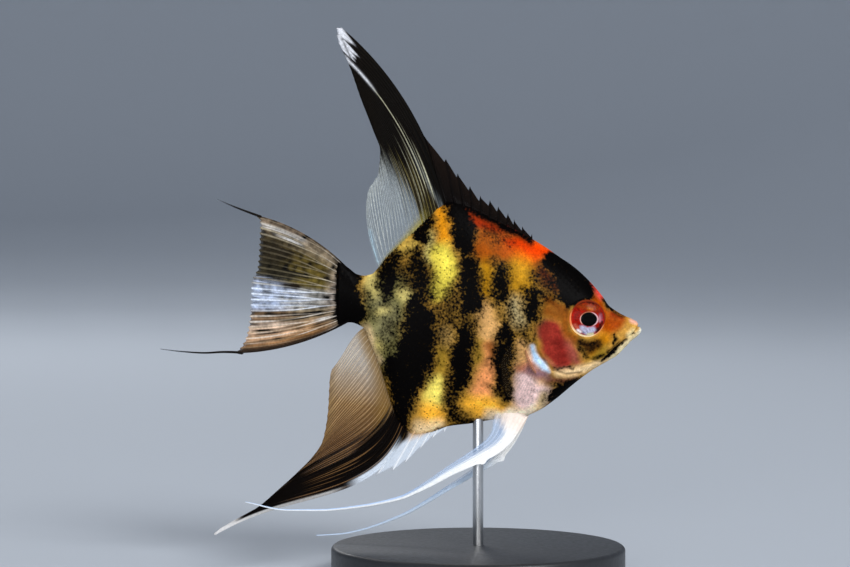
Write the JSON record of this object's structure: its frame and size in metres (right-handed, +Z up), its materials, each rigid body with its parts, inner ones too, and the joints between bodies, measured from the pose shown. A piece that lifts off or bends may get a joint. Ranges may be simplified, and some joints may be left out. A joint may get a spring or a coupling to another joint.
{
  "type": "freshwater angelfish display model",
  "caption": "Still, life-size model of a half-grown calico freshwater angelfish, held on a plain round display stand by a short rod.",
  "frame": {"origin": "middle of the underside of the stand's base", "axes": "+X from the tail towards the snout, +Y to the fish's left, +Z up from the floor"},
  "size_m": [0.0721, 0.044, 0.0825],
  "materials": {
    "skin": "wet scaled skin in yellow, orange and cream with black bars",
    "gill_cover": "smooth red skin",
    "eye": "clear gloss over a red iris",
    "dark_fin": "dark rayed membrane",
    "brown_fin": "brown rayed membrane",
    "white_fin": "white rayed membrane",
    "clear_fin": "clear rayed membrane",
    "stand_paint": "satin black paint",
    "stand_steel": "brushed"
  },
  "bodies": {
    "root": {"head": "skin", "lower_jaw": "skin", "gill_cover_left": "gill_cover", "gill_cover_right": "gill_cover", "trunk": "skin", "tail_stalk": "skin", "eye_left": "eye", "eye_right": "eye", "dorsal_fin_spines": "dark_fin", "dorsal_fin_rays": "dark_fin", "anal_fin_spines": "brown_fin", "anal_fin_rays": "brown_fin", "tail_fin": "brown_fin", "pelvic_fin_left": "white_fin", "pelvic_fin_right": "white_fin", "pectoral_fin_left": "clear_fin", "pectoral_fin_right": "clear_fin", "stand_base": "stand_paint", "stand_rod": "stand_steel"}
  },
  "joints": []
}
